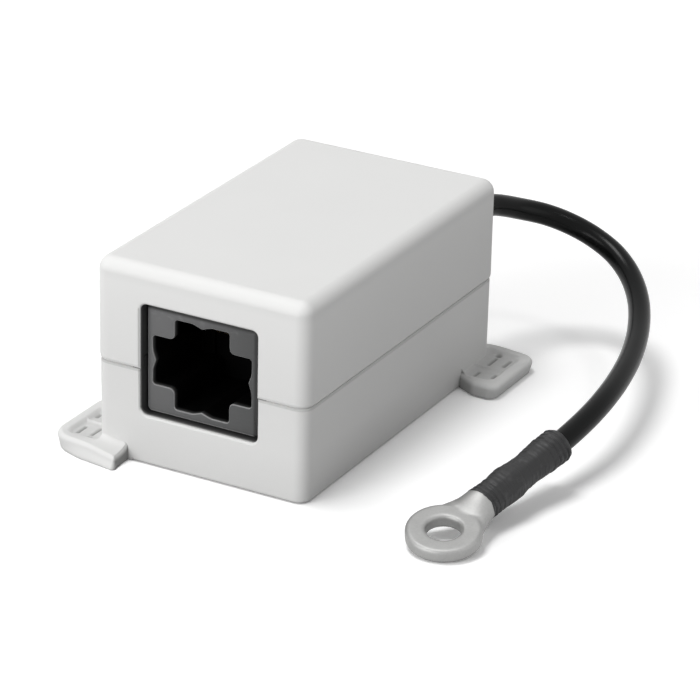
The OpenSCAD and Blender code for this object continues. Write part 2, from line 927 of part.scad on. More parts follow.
// Ring of the terminal, with its edges rounded outside and in the hole
module eye() {
    e = ring_edge;
    h = ring_t / 2;
    inner = ring_hole_d / 2;
    outer = ring_d / 2;
    rotate_extrude($fn = 96)
        polygon(concat(
            arc(outer - e, e - h, e, 270, 360, arc_steps),
            arc(outer - e, h - e, e, 0, 90, arc_steps),
            arc(inner + e, h - e, e, 90, 180, arc_steps),
            arc(inner + e, e - h, e, 180, 270, arc_steps)
        ));
}

// Distance to the edge of a rounded oblong or ellipse, w wide and h high each way, in direction a
function reach(w, h, power, a) = pow(pow(abs(cos(a)) / w, power) + pow(abs(sin(a)) / h, power), -1 / power);

// Neck between ring and barrel: a flat web that narrows from the ring, and the cone that rises from it
module neck() {
    stations = 8;
    n = 32;
    flat = ring_t / 2 - eps / 2;
    root_w = sqrt(pow(ring_d / 2, 2) - pow(neck_start, 2)) - eps;
    run = sleeve_run - 0.1 - neck_start;
    loft([
        for (i = [0:stations])
            let (
                t = i / stations,
                w = neck_w / 2 + (root_w - neck_w / 2) * pow(1 - t, 1.2),
                cone_w = neck_w / 2 * (1.3 - 0.3 * t),
                cone_h = flat - 0.1 + (neck_w / 2 + 0.1 - flat) * (1 - cos(180 * t)) / 2
            )
                [for (k = [0:n - 1])
                    let (
                        a = 360 * k / n,
                        turn = atan2(-max(flat, cone_h) * sin(a), w * cos(a)),
                        r = max(reach(w, flat, 4, turn), reach(cone_w, cone_h, 2, turn))
                    )
                        [r * cos(turn), neck_start + run * t, r * sin(turn)]]
    ]);
}

module ring_terminal() {
    color("silver")
    on_lug()
        difference() {
            union() {
                eye();
                neck();
                translate([0, sleeve_run - 0.7, 0])
                    rotate([-90, 0, 0])
                        cylinder(d = barrel_d, h = barrel_run - sleeve_run + 0.7, $fn = 48);
            }
            translate([0, sleeve_run + 0.6, 0])
                rotate([-90, 0, 0])
                    cylinder(d = wire_d - 0.6, h = barrel_run, $fn = 32);
        }
}

upper_cover();
lower_base();
at_port("front") jack_housing();  // front_jack_housing
at_port("rear") jack_housing();  // rear_jack_housing
at_port("front") contact_carrier();  // front_contact_carrier
at_port("rear") contact_carrier();  // rear_contact_carrier
for (end = ["front", "rear"])
    for (i = [0:contact_count - 1])
        at_port(end) contact(i);
circuit_board();
for (i = [0:3])
    surge_tube(i);
for (i = [0:3])
    suppressor_diode(i);
earth_terminal();
case_screws();
ground_wire();
ground_sleeve();
ring_terminal();
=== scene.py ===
import math

import bmesh
import bpy
from mathutils import Matrix, Quaternion, Vector, noise


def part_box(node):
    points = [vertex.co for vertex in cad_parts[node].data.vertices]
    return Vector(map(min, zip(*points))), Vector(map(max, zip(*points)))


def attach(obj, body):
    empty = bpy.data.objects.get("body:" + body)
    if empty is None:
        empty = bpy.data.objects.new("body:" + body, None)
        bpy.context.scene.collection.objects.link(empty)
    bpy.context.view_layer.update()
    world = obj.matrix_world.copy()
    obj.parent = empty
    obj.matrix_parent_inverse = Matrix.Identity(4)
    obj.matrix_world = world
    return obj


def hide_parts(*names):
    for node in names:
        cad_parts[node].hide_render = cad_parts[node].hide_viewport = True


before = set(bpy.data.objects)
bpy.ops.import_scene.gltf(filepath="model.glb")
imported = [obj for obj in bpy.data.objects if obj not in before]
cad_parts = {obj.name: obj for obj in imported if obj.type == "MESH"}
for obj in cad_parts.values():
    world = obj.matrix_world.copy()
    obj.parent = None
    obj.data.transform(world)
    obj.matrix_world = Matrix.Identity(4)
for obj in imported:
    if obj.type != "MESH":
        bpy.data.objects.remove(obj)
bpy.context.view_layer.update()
scene = bpy.context.scene
millimetre = 0.001
print("frame loaded:", len(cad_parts), "nodes")


# Camera at the photograph's viewing angle
view = {
    "azimuth": 28.53,       # degrees from the front towards the right
    "elevation": 24.06,
    "roll": 1.32,
    "target": (-2.47, 16.02, 0.2),      # millimetres
    "distance": 428.86,
    "lens": 193.2,
}


def addCamera(values):
    azimuth, elevation, roll = (math.radians(values[k]) for k in ("azimuth", "elevation", "roll"))
    towards = Vector((math.sin(azimuth) * math.cos(elevation),
                      -math.cos(azimuth) * math.cos(elevation),
                      math.sin(elevation)))
    camera = bpy.data.objects.new("camera", bpy.data.cameras.new("camera"))
    camera.data.lens = values["lens"]
    camera.data.sensor_width = 36
    camera.data.clip_start = 0.01
    camera.location = (Vector(values["target"]) + values["distance"] * towards) * millimetre
    camera.rotation_mode = "QUATERNION"
    camera.rotation_quaternion = towards.to_track_quat("Z", "Y") @ Quaternion((0, 0, 1), roll)
    scene.collection.objects.link(camera)
    scene.camera = camera


addCamera(view)
scene.view_settings.view_transform = "Standard"


# Node trees: a Signal is a socket that takes part in sums, a Graph adds any other node
class Signal:
    def __init__(self, graph, socket):
        self.graph = graph
        self.socket = socket

    def math(self, operation, *values):
        return self.graph.add("ShaderNodeMath", {"operation": operation}, dict(enumerate(values)))

    def __abs__(self):
        return self.math("ABSOLUTE", self)

    def sign(self):
        return self.math("SIGN", self)

    def larger(self, other):
        return self.math("MAXIMUM", self, other)

    def __add__(self, other):
        return self.math("ADD", self, other)

    def __radd__(self, other):
        return self.math("ADD", other, self)

    def __sub__(self, other):
        return self.math("SUBTRACT", self, other)

    def __rsub__(self, other):
        return self.math("SUBTRACT", other, self)

    def __mul__(self, other):
        return self.math("MULTIPLY", self, other)

    def __rmul__(self, other):
        return self.math("MULTIPLY", other, self)

    def __truediv__(self, other):
        return self.math("DIVIDE", self, other)

    def __pow__(self, other):
        return self.math("POWER", self, other)

    def __gt__(self, other):
        return self.math("GREATER_THAN", self, other)

    def __lt__(self, other):
        return self.math("LESS_THAN", self, other)


class Graph:
    def __init__(self, tree):
        self.tree = tree

    def add(self, kind, settings=None, inputs=None, output=0):
        node = self.tree.nodes.new(kind)
        for name, value in (settings or {}).items():
            if name == "stops":
                ramp = node.color_ramp
                while len(ramp.elements) < len(value):
                    ramp.elements.new(1)
                for element, (place, level) in zip(ramp.elements, value):
                    element.position = place
                    element.color = (level, level, level, 1)
            else:
                setattr(node, name, value)
        for name, value in (inputs or {}).items():
            if isinstance(value, Signal):
                self.tree.links.new(value.socket, node.inputs[name])
            else:
                node.inputs[name].default_value = value
        return Signal(self, node.outputs[output]) if len(node.outputs) else node

    def part(self, signal, output):             # another output of the node behind a signal
        return Signal(self, signal.socket.node.outputs[output])


def linear(level):
    level = level / 255
    return level / 12.92 if level <= 0.04045 else ((level + 0.055) / 1.055) ** 2.4


def colour(red, green, blue):
    return (linear(red), linear(green), linear(blue), 1)


# Every material starts here: object coordinates in millimetres, and a Principled shader
class Finish(Graph):
    def __init__(self, name, roughness=0.5, metallic=0.0, coat=0.0, specular=0.5):
        self.material = bpy.data.materials.new(name)
        self.material.use_nodes = True
        super().__init__(self.material.node_tree)
        self.tree.nodes.clear()
        self.shader = self.add("ShaderNodeBsdfPrincipled", {}, {
            "Roughness": roughness, "Metallic": metallic,
            "Coat Weight": coat, "Specular IOR Level": specular})
        self.surface = self.add("ShaderNodeOutputMaterial", {}, {"Surface": self.shader})
        coordinates = self.add("ShaderNodeTexCoord", {}, {}, "Object")
        self.place = self.add("ShaderNodeVectorMath", {"operation": "SCALE"}, {
            0: coordinates, "Scale": 1000.0})

    def set(self, name, value):
        socket = self.shader.socket.node.inputs[name]
        if isinstance(value, Signal):
            self.tree.links.new(value.socket, socket)
        else:
            socket.default_value = value

    def cover(self, share, second):              # a second surface over the first
        mixed = self.add("ShaderNodeMixShader", {}, {0: share, 1: self.shader, 2: second})
        self.tree.links.new(mixed.socket, self.surface.inputs["Surface"])

    def stretched(self, x, y, z):
        return self.add("ShaderNodeVectorMath", {"operation": "MULTIPLY"}, {0: self.place, 1: (x, y, z)})

    def noise(self, scale, detail, where=None):
        return self.add("ShaderNodeTexNoise", {}, {
            "Vector": where or self.place, "Scale": scale, "Detail": detail, "Roughness": 0.55})

    def axes(self):
        split = self.add("ShaderNodeSeparateXYZ", {}, {"Vector": self.place})
        return split, self.part(split, 1), self.part(split, 2)

    def ramp(self, signal, stops):
        return self.add("ShaderNodeValToRGB", {"stops": stops}, {"Fac": signal})

    def rise(self, signal, start, over):         # 0 up to the start, and 1 from start + over on
        return self.ramp((signal - start) / over, [(0.0, 0.0), (1.0, 1.0)])

    def mix(self, share, first, second):
        return self.add("ShaderNodeMix", {"data_type": "RGBA"}, {"Factor": share, 6: first, 7: second}, 2)

    def bump(self, height, depth):               # depth in millimetres for a height from 0 to 1
        self.set("Normal", self.add("ShaderNodeBump", {}, {
            "Height": height, "Strength": 1.0, "Distance": depth * millimetre}))


boxHeight = 22.8                # in millimetres, as all places and sizes down to the studio's

housingFinish = {
    "pale": colour(229, 229, 228), "dull": colour(224, 224, 223),
    # painted shade colours: the first for the ears, the foot and the seam, the second for the windows' inner
    # walls
    "paintedShade": colour(118, 118, 117), "inside": colour(58, 58, 58),
    "high": colour(235, 235, 234),
    "paintedLightOver": [(0.45, 0.0), (0.90, 0.9), (0.975, 0.0)],       # painted light: paler towards the top, over the height
    "paintedFootShade": [(0.0, 0.35), (0.014, 0.11), (0.24, 0.0)],      # and painted shade at the foot
    "roughness": 0.58, "grain": 0.0016,
    "window": (0.2, 7.17, 5.66, 18.64),     # a window's middle, half width, lowest and highest edge
    "wallsBehind": 21.15, "wallsWider": 1.0,    # behind the end's face the painted shade's mask takes in the side walls
    "darkFrom": 21.32, "darkOver": 0.5,     # where the painted shade on its walls starts, and over what depth
    "sill": 0.42, "sillOver": 0.9,          # how much deeper that starts on the sill, and up to what height
    "joint": 11,                            # height of the parting line
    "seamShade": 0.36, "seamShadeShare": 0.30,        # how far and how much painted shade darkens the groove below the line
    "lipHighlight": colour(246, 246, 245), "lipHighlightOver": 0.2,       # a painted highlight on the edge above it
}


def paintedWindowShade(finish, x, y, z, values):         # painted shade: 1 on the inner part of a window's walls
    middle, halfWidth, low, high = values["window"]
    across = abs(x * y.sign() - middle)
    width = halfWidth + values["wallsWider"] * (abs(y) < values["wallsBehind"])
    sill = values["sill"] * finish.ramp(z - low, [(0.0, 1.0), (values["sillOver"], 0.0)])
    past = (values["darkFrom"] - sill - abs(y)) / values["darkOver"]
    deepShade = finish.ramp(past, [(0.0, 0.0), (0.4, 0.8), (1.0, 1.0)])
    return deepShade * (across < width) * (z > low) * (z < high)


def makeHousingPlastic(values):
    finish = Finish("housingPlastic", specular=0.3)
    x, y, z = finish.axes()
    clouds = finish.noise(scale=0.09, detail=2.0)
    speck = finish.noise(scale=2.2, detail=4.0)
    skin = finish.mix(clouds * 0.7 + speck * 0.3, values["dull"], values["pale"])
    # painted shade on the ears, from their shade attribute
    shade = finish.add("ShaderNodeAttribute", {"attribute_name": "shade"}, {}, "Fac")
    skin = finish.mix(shade, skin, values["paintedShade"])
    # painted light, paler towards the top
    skin = finish.mix(finish.ramp(z / boxHeight, values["paintedLightOver"]), skin, values["high"])
    # painted shade at the foot
    skin = finish.mix(finish.ramp(z / boxHeight, values["paintedFootShade"]), skin, values["paintedShade"])
    # painted shade in the groove below the parting line
    joint, below = values["joint"], values["seamShade"]
    seamShade = finish.ramp((z - joint + below) / below, [(0.0, 0.0), (0.4, 1.0), (0.97, 1.0), (1.0, 0.0)])
    skin = finish.mix(seamShade * values["seamShadeShare"], skin, values["paintedShade"])
    # painted highlight on the cover's edge above the parting line
    lipHighlight = (z > joint) * finish.ramp((z - joint) / values["lipHighlightOver"], [(0.5, 0.7), (1.0, 0.0)])
    skin = finish.mix(lipHighlight, skin, values["lipHighlight"])
    # painted shade on the windows' inner walls
    dark = paintedWindowShade(finish, x, y, z, values)
    finish.set("Base Color", finish.mix(dark, skin, values["inside"]))
    finish.set("Roughness", values["roughness"] - 0.04 + 0.08 * speck)
    finish.bump(finish.noise(scale=5.5, detail=3.0), values["grain"])
    return finish.material


socketFinish = {
    "face": colour(61, 62, 62), "scuffAndPaintedLight": colour(122, 122, 123), "shadeBlack": colour(9, 9, 9),
    "roughness": 0.40, "grain": 0.004,
    "scuffsOver": [(0.72, 0.0), (0.80, 1.0)],   # scuffs show on the upper part, over the box's height
    "halfFace": 6.5,                # half the width over which painted light makes the face paler to one side
    "lightAcross": [(0.0, 0.62), (1.0, 0.0)], "lightUp": [(0.25, 0.6), (0.8, 1.0)],
    "rim": colour(188, 188, 188), "rimHighlightShare": 0.6, "rimHighlightOver": 0.2,      # a painted highlight along the broken edges
    "gapSide": 5.8, "gapTop": 17.62, "gapOver": 0.3,    # where painted shadow of the gap darkens the face towards its outline
    "faceAt": 20.2,                 # distance of the sockets' faces from the middle
    "shade": 0.9,                   # depth over which painted shade turns the hollow black
    "black": 0.94,                  # how much of the gloss it loses there, under a matt cover of painted shade
}


def makeSocketPlastic(values):
    finish = Finish("socketPlastic", specular=0.4)
    x, y, z = finish.axes()
    side = 0 - x * y.sign()
    depth = values["faceAt"] - abs(y)
    rubbed = finish.noise(scale=1.1, detail=5.0, where=finish.stretched(1.0, 0.4, 1.6))
    streak = finish.noise(scale=2.4, detail=4.0, where=finish.stretched(0.35, 0.35, 3.0))
    high = finish.ramp(z / boxHeight, values["scuffsOver"])
    scuffs = finish.ramp(rubbed, [(0.52, 0.0), (0.70, 1.0)]) * high * 0.5
    # painted light: the face paler to one side and upwards, in the scuffs' colour
    across = (side + values["halfFace"]) / (2 * values["halfFace"])
    light = finish.ramp(across, values["lightAcross"]) * finish.ramp(z / boxHeight, values["lightUp"])
    face = finish.mix(scuffs + 0.10 * streak + light, values["face"], values["scuffAndPaintedLight"])
    # painted highlight along the broken edges
    rim = finish.ramp(depth / values["rimHighlightOver"], [(0.05, 0.0), (0.25, 1.0), (0.7, 1.0), (1.0, 0.0)])
    face = finish.mix(rim * values["rimHighlightShare"], face, values["rim"])
    # painted shadow of the gap round the face
    gap = finish.rise(side, values["gapSide"], values["gapOver"])
    gap = gap.larger(finish.rise(z, values["gapTop"], values["gapOver"]))
    face = finish.mix(gap, face, values["shadeBlack"])
    # painted shade: the hollow turns black with depth, under a matt black cover
    deepShade = finish.ramp(depth / values["shade"], [(0.2, 0.0), (1.0, 1.0)])
    finish.set("Base Color", finish.mix(deepShade, face, values["shadeBlack"]))
    finish.set("Roughness", values["roughness"] + 0.16 * rubbed)
    finish.bump(finish.noise(scale=7.0, detail=3.0), values["grain"])
    matt = finish.add("ShaderNodeBsdfDiffuse", {}, {"Color": values["shadeBlack"]})
    finish.cover(deepShade * values["black"], matt)
    return finish.material


goldFinish = {
    "dark": colour(201, 160, 84), "light": colour(226, 190, 112), "roughness": 0.22, "grain": 0.003,
    "dull": colour(34, 30, 24), "mouthShadeFrom": 16.5, "mouthShadeOver": 2,        # painted shade, darker towards the opening
}


def makeContactGold(values):
    finish = Finish("contactGold", metallic=1.0)
    wear = finish.noise(scale=3.0, detail=4.0)
    _, y, _ = finish.axes()
    gold = finish.mix(wear, values["dark"], values["light"])
    # painted shade on the contacts towards the opening
    mouthShade = finish.rise(abs(y), values["mouthShadeFrom"], values["mouthShadeOver"])
    finish.set("Base Color", finish.mix(mouthShade, gold, values["dull"]))
    finish.set("Roughness", values["roughness"] + 0.16 * wear)
    finish.bump(finish.noise(scale=2.0, detail=2.0, where=finish.stretched(6.0, 0.6, 0.6)), values["grain"])
    return finish.material


boardFinish = {
    "dark": colour(16, 70, 42), "light": colour(28, 96, 58), "roughness": 0.34, "grain": 0.01,
    "weave": 2.4,               # squares in a millimetre
}


def makeBoardLaminate(values):
    finish = Finish("boardLaminate", coat=0.25)
    weave = finish.add("ShaderNodeTexChecker", {}, {"Vector": finish.place, "Scale": values["weave"]}, 1)
    cloud = finish.noise(scale=0.5, detail=3.0)
    finish.set("Base Color", finish.mix(0.3 * weave + 0.5 * cloud, values["dark"], values["light"]))
    finish.set("Roughness", values["roughness"] + 0.12 * cloud)
    finish.bump(weave * 0.4 + finish.noise(scale=1.6, detail=2.0), values["grain"])
    return finish.material


tubeFinish = {
    "dark": colour(226, 222, 212), "light": colour(238, 236, 230), "roughness": 0.55, "grain": 0.01,
    "capDark": colour(176, 176, 174), "capLight": colour(206, 206, 204), "capLength": 1,
}


def makeTubeCeramic(values):
    finish = Finish("tubeCeramic")
    _, y, _ = finish.axes()
    low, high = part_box("surge_tube_1")
    cap = (y < low.y * 1000 + values["capLength"]) + (y > high.y * 1000 - values["capLength"])
    stain = finish.noise(scale=1.4, detail=4.0)
    ceramic = finish.mix(stain, values["dark"], values["light"])
    metal = finish.mix(stain, values["capDark"], values["capLight"])
    finish.set("Base Color", finish.mix(cap, ceramic, metal))
    finish.set("Metallic", cap)
    finish.set("Roughness", values["roughness"] - 0.2 * cap + 0.1 * stain)
    finish.bump(stain, values["grain"])
    return finish.material


diodeFinish = {
    "dark": colour(34, 34, 35), "light": colour(52, 52, 53), "roughness": 0.6, "grain": 0.008,
    "leadDark": colour(186, 186, 184), "leadLight": colour(210, 210, 208), "leadLength": 0.5,
    "band": colour(176, 176, 172), "bandFrom": 0.5, "bandTo": 1.1, "bandShare": 0.85,   # past the lead
    "topSkin": 0.05,                # the band is on the top face only
}


def makeDiodePlastic(values):
    finish = Finish("diodePlastic")
    _, y, z = finish.axes()
    low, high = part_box("suppressor_diode_1")
    start = low.y * 1000 + values["leadLength"]
    end = high.y * 1000 - values["leadLength"]
    lead = (y < start) + (y > end)
    band = (y > start + values["bandFrom"]) * (y < start + values["bandTo"])
    band = band * (z > high.z * 1000 - values["topSkin"])
    grain = finish.noise(scale=9.0, detail=4.0)
    black = finish.mix(grain, values["dark"], values["light"])
    tin = finish.mix(grain, values["leadDark"], values["leadLight"])
    painted = finish.mix(band * values["bandShare"], black, values["band"])
    finish.set("Base Color", finish.mix(lead, painted, tin))
    finish.set("Metallic", lead)
    finish.set("Roughness", values["roughness"] - 0.3 * lead)
    finish.bump(grain, values["grain"])
    return finish.material


tinFinish = {
    "dark": colour(138, 138, 137), "light": colour(168, 168, 167), "roughness": 0.54, "grain": 0.012,
}


def makeTinnedMetal(values):
    finish = Finish("tinnedMetal", metallic=1.0)
    cloud = finish.noise(scale=0.55, detail=3.0)
    fine = finish.noise(scale=4.5, detail=4.0)
    drawn = finish.noise(scale=2.2, detail=3.0, where=finish.stretched(3.0, 0.5, 3.0))
    finish.set("Base Color", finish.mix(cloud * 0.6 + fine * 0.4, values["dark"], values["light"]))
    finish.set("Roughness", values["roughness"] - 0.04 + 0.12 * cloud)
    finish.bump(cloud * 0.5 + fine * 0.3 + drawn * 0.3, values["grain"])
    return finish.material


screwFinish = {
    "dark": colour(168, 168, 170), "light": colour(200, 200, 202), "roughness": 0.28, "grain": 0.006,
}


def makeScrewSteel(values):
    finish = Finish("screwSteel", metallic=1.0)
    turned = finish.noise(scale=3.0, detail=4.0)
    finish.set("Base Color", finish.mix(turned, values["dark"], values["light"]))
    finish.set("Roughness", values["roughness"] + 0.14 * turned)
    finish.bump(turned, values["grain"])
    return finish.material


leadFinish = {"dark": colour(7, 8, 8), "light": colour(12, 13, 13), "roughness": 0.24, "grain": 0.001}


def makeLeadInsulation(values):
    finish = Finish("leadInsulation", specular=0.12)
    cloud = finish.noise(scale=0.35, detail=3.0)
    fine = finish.noise(scale=6.0, detail=4.0)
    finish.set("Base Color", finish.mix(cloud, values["dark"], values["light"]))
    finish.set("Roughness", values["roughness"] - 0.04 + 0.05 * fine + 0.04 * cloud)
    finish.bump(fine * 0.6 + cloud * 0.4, values["grain"])
    return finish.material


sleeveFinish = {"dark": colour(24, 24, 25), "light": colour(58, 58, 59), "roughness": 0.48, "grain": 0.012}


def makeSleeveShrink(values):
    finish = Finish("sleeveShrink", specular=0.4)
    dusty = finish.noise(scale=0.8, detail=5.0)
    fine = finish.noise(scale=9.0, detail=4.0)
    scuffs = finish.ramp(dusty, [(0.56, 0.0), (0.74, 1.0)])
    finish.set("Base Color", finish.mix(scuffs * 0.7 + fine * 0.25, values["dark"], values["light"]))
    finish.set("Roughness", values["roughness"] + 0.14 * fine - 0.1 * scuffs)
    finish.bump(fine * 0.7 + dusty * 0.3, values["grain"])
    return finish.material


housingPlastic = makeHousingPlastic(housingFinish)
socketPlastic = makeSocketPlastic(socketFinish)
contactGold = makeContactGold(goldFinish)
boardLaminate = makeBoardLaminate(boardFinish)
tubeCeramic = makeTubeCeramic(tubeFinish)
diodePlastic = makeDiodePlastic(diodeFinish)
tinnedMetal = makeTinnedMetal(tinFinish)
screwSteel = makeScrewSteel(screwFinish)
leadInsulation = makeLeadInsulation(leadFinish)
sleeveShrink = makeSleeveShrink(sleeveFinish)
print("finishes made")


# Meshes
softAngle = 50                  # degrees: sharper edges than this stay sharp on the soft pieces
shellAngle = 40                 # and on the shells and sockets


def newPiece(name, mesh, material):
    piece = bpy.data.objects.new(name, mesh)
    mesh.materials.clear()
    mesh.materials.append(material)
    scene.collection.objects.link(piece)
    return piece


def plainMesh(piece):                            # what the modifiers make becomes the piece's own mesh
    mesh = bpy.data.meshes.new_from_object(piece.evaluated_get(bpy.context.evaluated_depsgraph_get()))
    piece.modifiers.clear()
    piece.data = mesh
    return piece


def smoothBelow(mesh, angle):
    mesh.shade_smooth()
    mesh.set_sharp_from_angle(angle=math.radians(angle))


def closedMesh(name, points, faces):             # with its faces turned outwards
    mesh = bpy.data.meshes.new(name)
    mesh.from_pydata(points, [], faces)
    work = bmesh.new()
    work.from_mesh(mesh)
    bmesh.ops.recalc_face_normals(work, faces=work.faces)
    work.to_mesh(mesh)
    work.free()
    return mesh


def mergedCopy(node, flatBelow=0.6):             # a CAD node's mesh with its loose triangles joined
    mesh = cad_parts[node].data.copy()
    work = bmesh.new()
    work.from_mesh(mesh)
    bmesh.ops.remove_doubles(work, verts=work.verts, dist=1e-6)
    bmesh.ops.dissolve_degenerate(work, edges=work.edges, dist=1e-7)
    bmesh.ops.dissolve_limit(work, angle_limit=math.radians(flatBelow), verts=work.verts, edges=work.edges)
    work.to_mesh(mesh)
    work.free()
    if mesh.has_custom_normals:
        mesh.attributes.remove(mesh.attributes["custom_normal"])
    return mesh


def flattenFaces(piece):                         # smooth roundings beside faces that stay flat
    smoothBelow(piece.data, shellAngle)
    weighted = piece.modifiers.new("flatFaces", "WEIGHTED_NORMAL")
    weighted.keep_sharp = True
    weighted.weight = 100
    return plainMesh(piece)


def finishPiece(piece, node):
    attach(piece, "root")
    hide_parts(node)


# Ground lead: the route's points are the lead's middle line, in millimetres
lead = {
    "diameter": 2.5,
    "sides": 40,
    "steps": 8,             # stations between two points of the route
    "exit": 7,              # the point at which it leaves the rear wall
    "route": [
        (9.4, 1.5, 5.8), (9.4, 1.5, 7.8), (9.4, 2.3, 11.5), (9.4, 4.4, 14.8), (9.4, 7.7, 16.9),
        (9.4, 11.5, 17.7), (9.4, 16.5, 17.7), (9.4, 21.4, 17.7), (9.4, 22.9, 17.7), (9.6, 24.7, 17.5),
        (10.2, 26.7, 17.1), (11.7, 29.8, 15.9), (14, 32, 14.9), (16.6, 33.3, 13.8), (19.4, 33.6, 12.7),
        (22.4, 32.9, 11.5), (25.3, 30.9, 10.2), (28, 27.4, 9), (30.3, 22.6, 8), (32.1, 17.1, 7.4),
        (33.3, 11.5, 7), (33.9, 6.4, 6.6), (33.9, 2, 6), (33.3, -3.2, 5.1), (31.9, -10.1, 3.8),
    ],
}


def smoothPath(points, steps):                   # a curve through the points
    points = [Vector(p) for p in points]
    padded = [2 * points[0] - points[1], *points, 2 * points[-1] - points[-2]]
    path = []
    for a, b, c, d in zip(padded, padded[1:], padded[2:], padded[3:]):
        into = (c - a) * (b - c).length / ((b - a).length + (c - b).length)
        out = (d - b) * (b - c).length / ((c - b).length + (d - c).length)
        for k in range(steps):
            t = k / steps
            path.append((2 * t**3 - 3 * t**2 + 1) * b + (t**3 - 2 * t**2 + t) * into
                        + (3 * t**2 - 2 * t**3) * c + (t**3 - t**2) * out)
    return path + [points[-1]]


def newTree(name, inputs):
    tree = bpy.data.node_groups.new(name, "GeometryNodeTree")
    tree.interface.new_socket("Geometry", in_out="INPUT", socket_type="NodeSocketGeometry")
    for label, kind in inputs.items():
        tree.interface.new_socket(label, in_out="INPUT", socket_type=kind)
    tree.interface.new_socket("Geometry", in_out="OUTPUT", socket_type="NodeSocketGeometry")
    graph = Graph(tree)
    start = graph.add("NodeGroupInput")
    return graph, {s.name: Signal(graph, s) for s in start.socket.node.outputs if s.name}


def closeTree(graph, geometry, material):        # real geometry with its material comes out
    real = graph.add("GeometryNodeRealizeInstances", {}, {"Geometry": geometry})
    painted = graph.add("GeometryNodeSetMaterial", {}, {"Geometry": real, "Material": material})
    graph.add("NodeGroupOutput", {}, {"Geometry": painted})


def runTree(piece, graph, values):
    modifier = piece.modifiers.new(graph.tree.name, "NODES")
    modifier.node_group = graph.tree
    for socket in graph.tree.interface.items_tree:
        if socket.in_out == "INPUT" and socket.name in values:
            modifier[socket.identifier] = values[socket.name]
    return plainMesh(piece)


def sweepTree(material):                         # a round tube along a line of points
    graph, inputs = newTree("roundSweep", {"Radius": "NodeSocketFloat", "Sides": "NodeSocketInt"})
    line = graph.add("GeometryNodeMeshToCurve", {}, {"Mesh": inputs["Geometry"]})
    circle = graph.add("GeometryNodeCurvePrimitiveCircle", {}, {
        "Resolution": inputs["Sides"], "Radius": inputs["Radius"]})
    tube = graph.add("GeometryNodeCurveToMesh", {}, {
        "Curve": line, "Profile Curve": circle, "Fill Caps": True})
    closeTree(graph, tube, material)
    return graph


def makeLead(values):
    path = [p * millimetre for p in smoothPath(values["route"], values["steps"])]
    mesh = bpy.data.meshes.new("groundLead")
    mesh.from_pydata(path, [(i, i + 1) for i in range(len(path) - 1)], [])
    piece = newPiece("groundLead", mesh, leadInsulation)
    runTree(piece, sweepTree(leadInsulation), {
        "Radius": values["diameter"] / 2 * millimetre, "Sides": values["sides"]})
    smoothBelow(piece.data, softAngle)
    return piece, path


groundLead, leadPath = makeLead(lead)
leadLength = sum((b - a).length for a, b in zip(leadPath, leadPath[1:]))
print("lead made:", round(leadLength * 1000, 1), "mm")


def smoothStep(low, high, value):
    t = min(1, max(0, (value - low) / (high - low)))
    return t * t * (3 - 2 * t)


# Ring terminal and sleeve lie on the line of the lead's last stretch
lug = {
    "barrelRun": 12.2,      # from the lead's end to the middle of the ring
    "roll": 6.5,            # degrees
    "sleeveRun": 5.7,       # from the middle of the ring to the sleeve
}


def lugMatrix(values):
    end, before = Vector(lead["route"][-1]), Vector(lead["route"][-2])
    along = (before - end).normalized()
    pitch, heading = math.asin(along.z), math.atan2(along.y, along.x) - math.pi / 2
    turn = (Matrix.Rotation(heading, 4, "Z") @ Matrix.Rotation(pitch, 4, "X")
            @ Matrix.Rotation(math.radians(values["roll"]), 4, "Y"))
    centre = end - values["barrelRun"] * along
    return Matrix.Scale(millimetre, 4) @ Matrix.Translation(centre) @ turn


onLug = lugMatrix(lug)


sleeve = {
    "outline": [            # place from the ring's end, and radius
        (0, 1.93), (2.6, 1.86), (4.8, 1.98), (7.0, 1.78), (8.1, 1.72), (9.5, 1.83), (11.1, 1.94),
        (13.4, 1.96),
    ],
    "rim": 0.16, "rimHighlightOver": 0.25,       # rounding at both ends
    "rings": [              # place and depth of the grooves round it
        (0.6, 0.15), (1.25, 0.12), (2.0, 0.08), (10.5, 0.06), (11.4, 0.13), (12.1, 0.13), (12.8, 0.15),
    ],
    "ringWidth": 0.14,
    "bore": [(13.4, 1.35), (6.7, 1.35), (6.6, 1.65), (0, 1.65)],
    "sides": 120,
    "stations": 260,
    "wrinkle": 0.10, "wrinklePattern": (0.35, 2.6, 0.35),
    "crease": 0.14, "creasePattern": (0.9, 0.12, 0.9),
    "skinFrom": 1.7,        # radius from which a point belongs to the outside
}


def revolve(name, profile, sides):               # closed profile of radius and place along Y
    points, faces = [], []
    count = len(profile)
    for k in range(sides):
        angle = 2 * math.pi * k / sides
        points += [(r * math.cos(angle), y, r * math.sin(angle)) for r, y in profile]
    for k in range(sides):
        low, high = k * count, (k + 1) % sides * count
        faces += [(low + i, low + (i + 1) % count, high + (i + 1) % count, high + i) for i in range(count)]
    return closedMesh(name, points, faces)


def sleeveProfile(values):
    outside, outline = [], values["outline"]
    length = outline[-1][0]
    for i in range(values["stations"] + 1):
        y = i / values["stations"] * length
        radius = outline[0][1]
        for (a, low), (b, high) in zip(outline, outline[1:]):
            radius += (high - low) * smoothStep(a, b, y)
        edge = min(y, length - y)
        rim = values["rim"] * max(0, 1 - edge / values["rimHighlightOver"]) ** 2
        groove = sum(depth * math.exp(-((y - at) / values["ringWidth"]) ** 2)
                     for at, depth in values["rings"])
        outside.append((radius - rim - groove, y))
    return outside + [(r, y) for y, r in values["bore"]]


def foldNoise(graph, position, pattern, detail):         # from -1 to 1, drawn out as the pattern says
    drawn = graph.add("ShaderNodeVectorMath", {"operation": "MULTIPLY"}, {0: position, 1: pattern})
    level = graph.add("ShaderNodeTexNoise", {}, {"Vector": drawn, "Scale": 1.0, "Detail": detail})
    return (level - 0.5) * 2.0


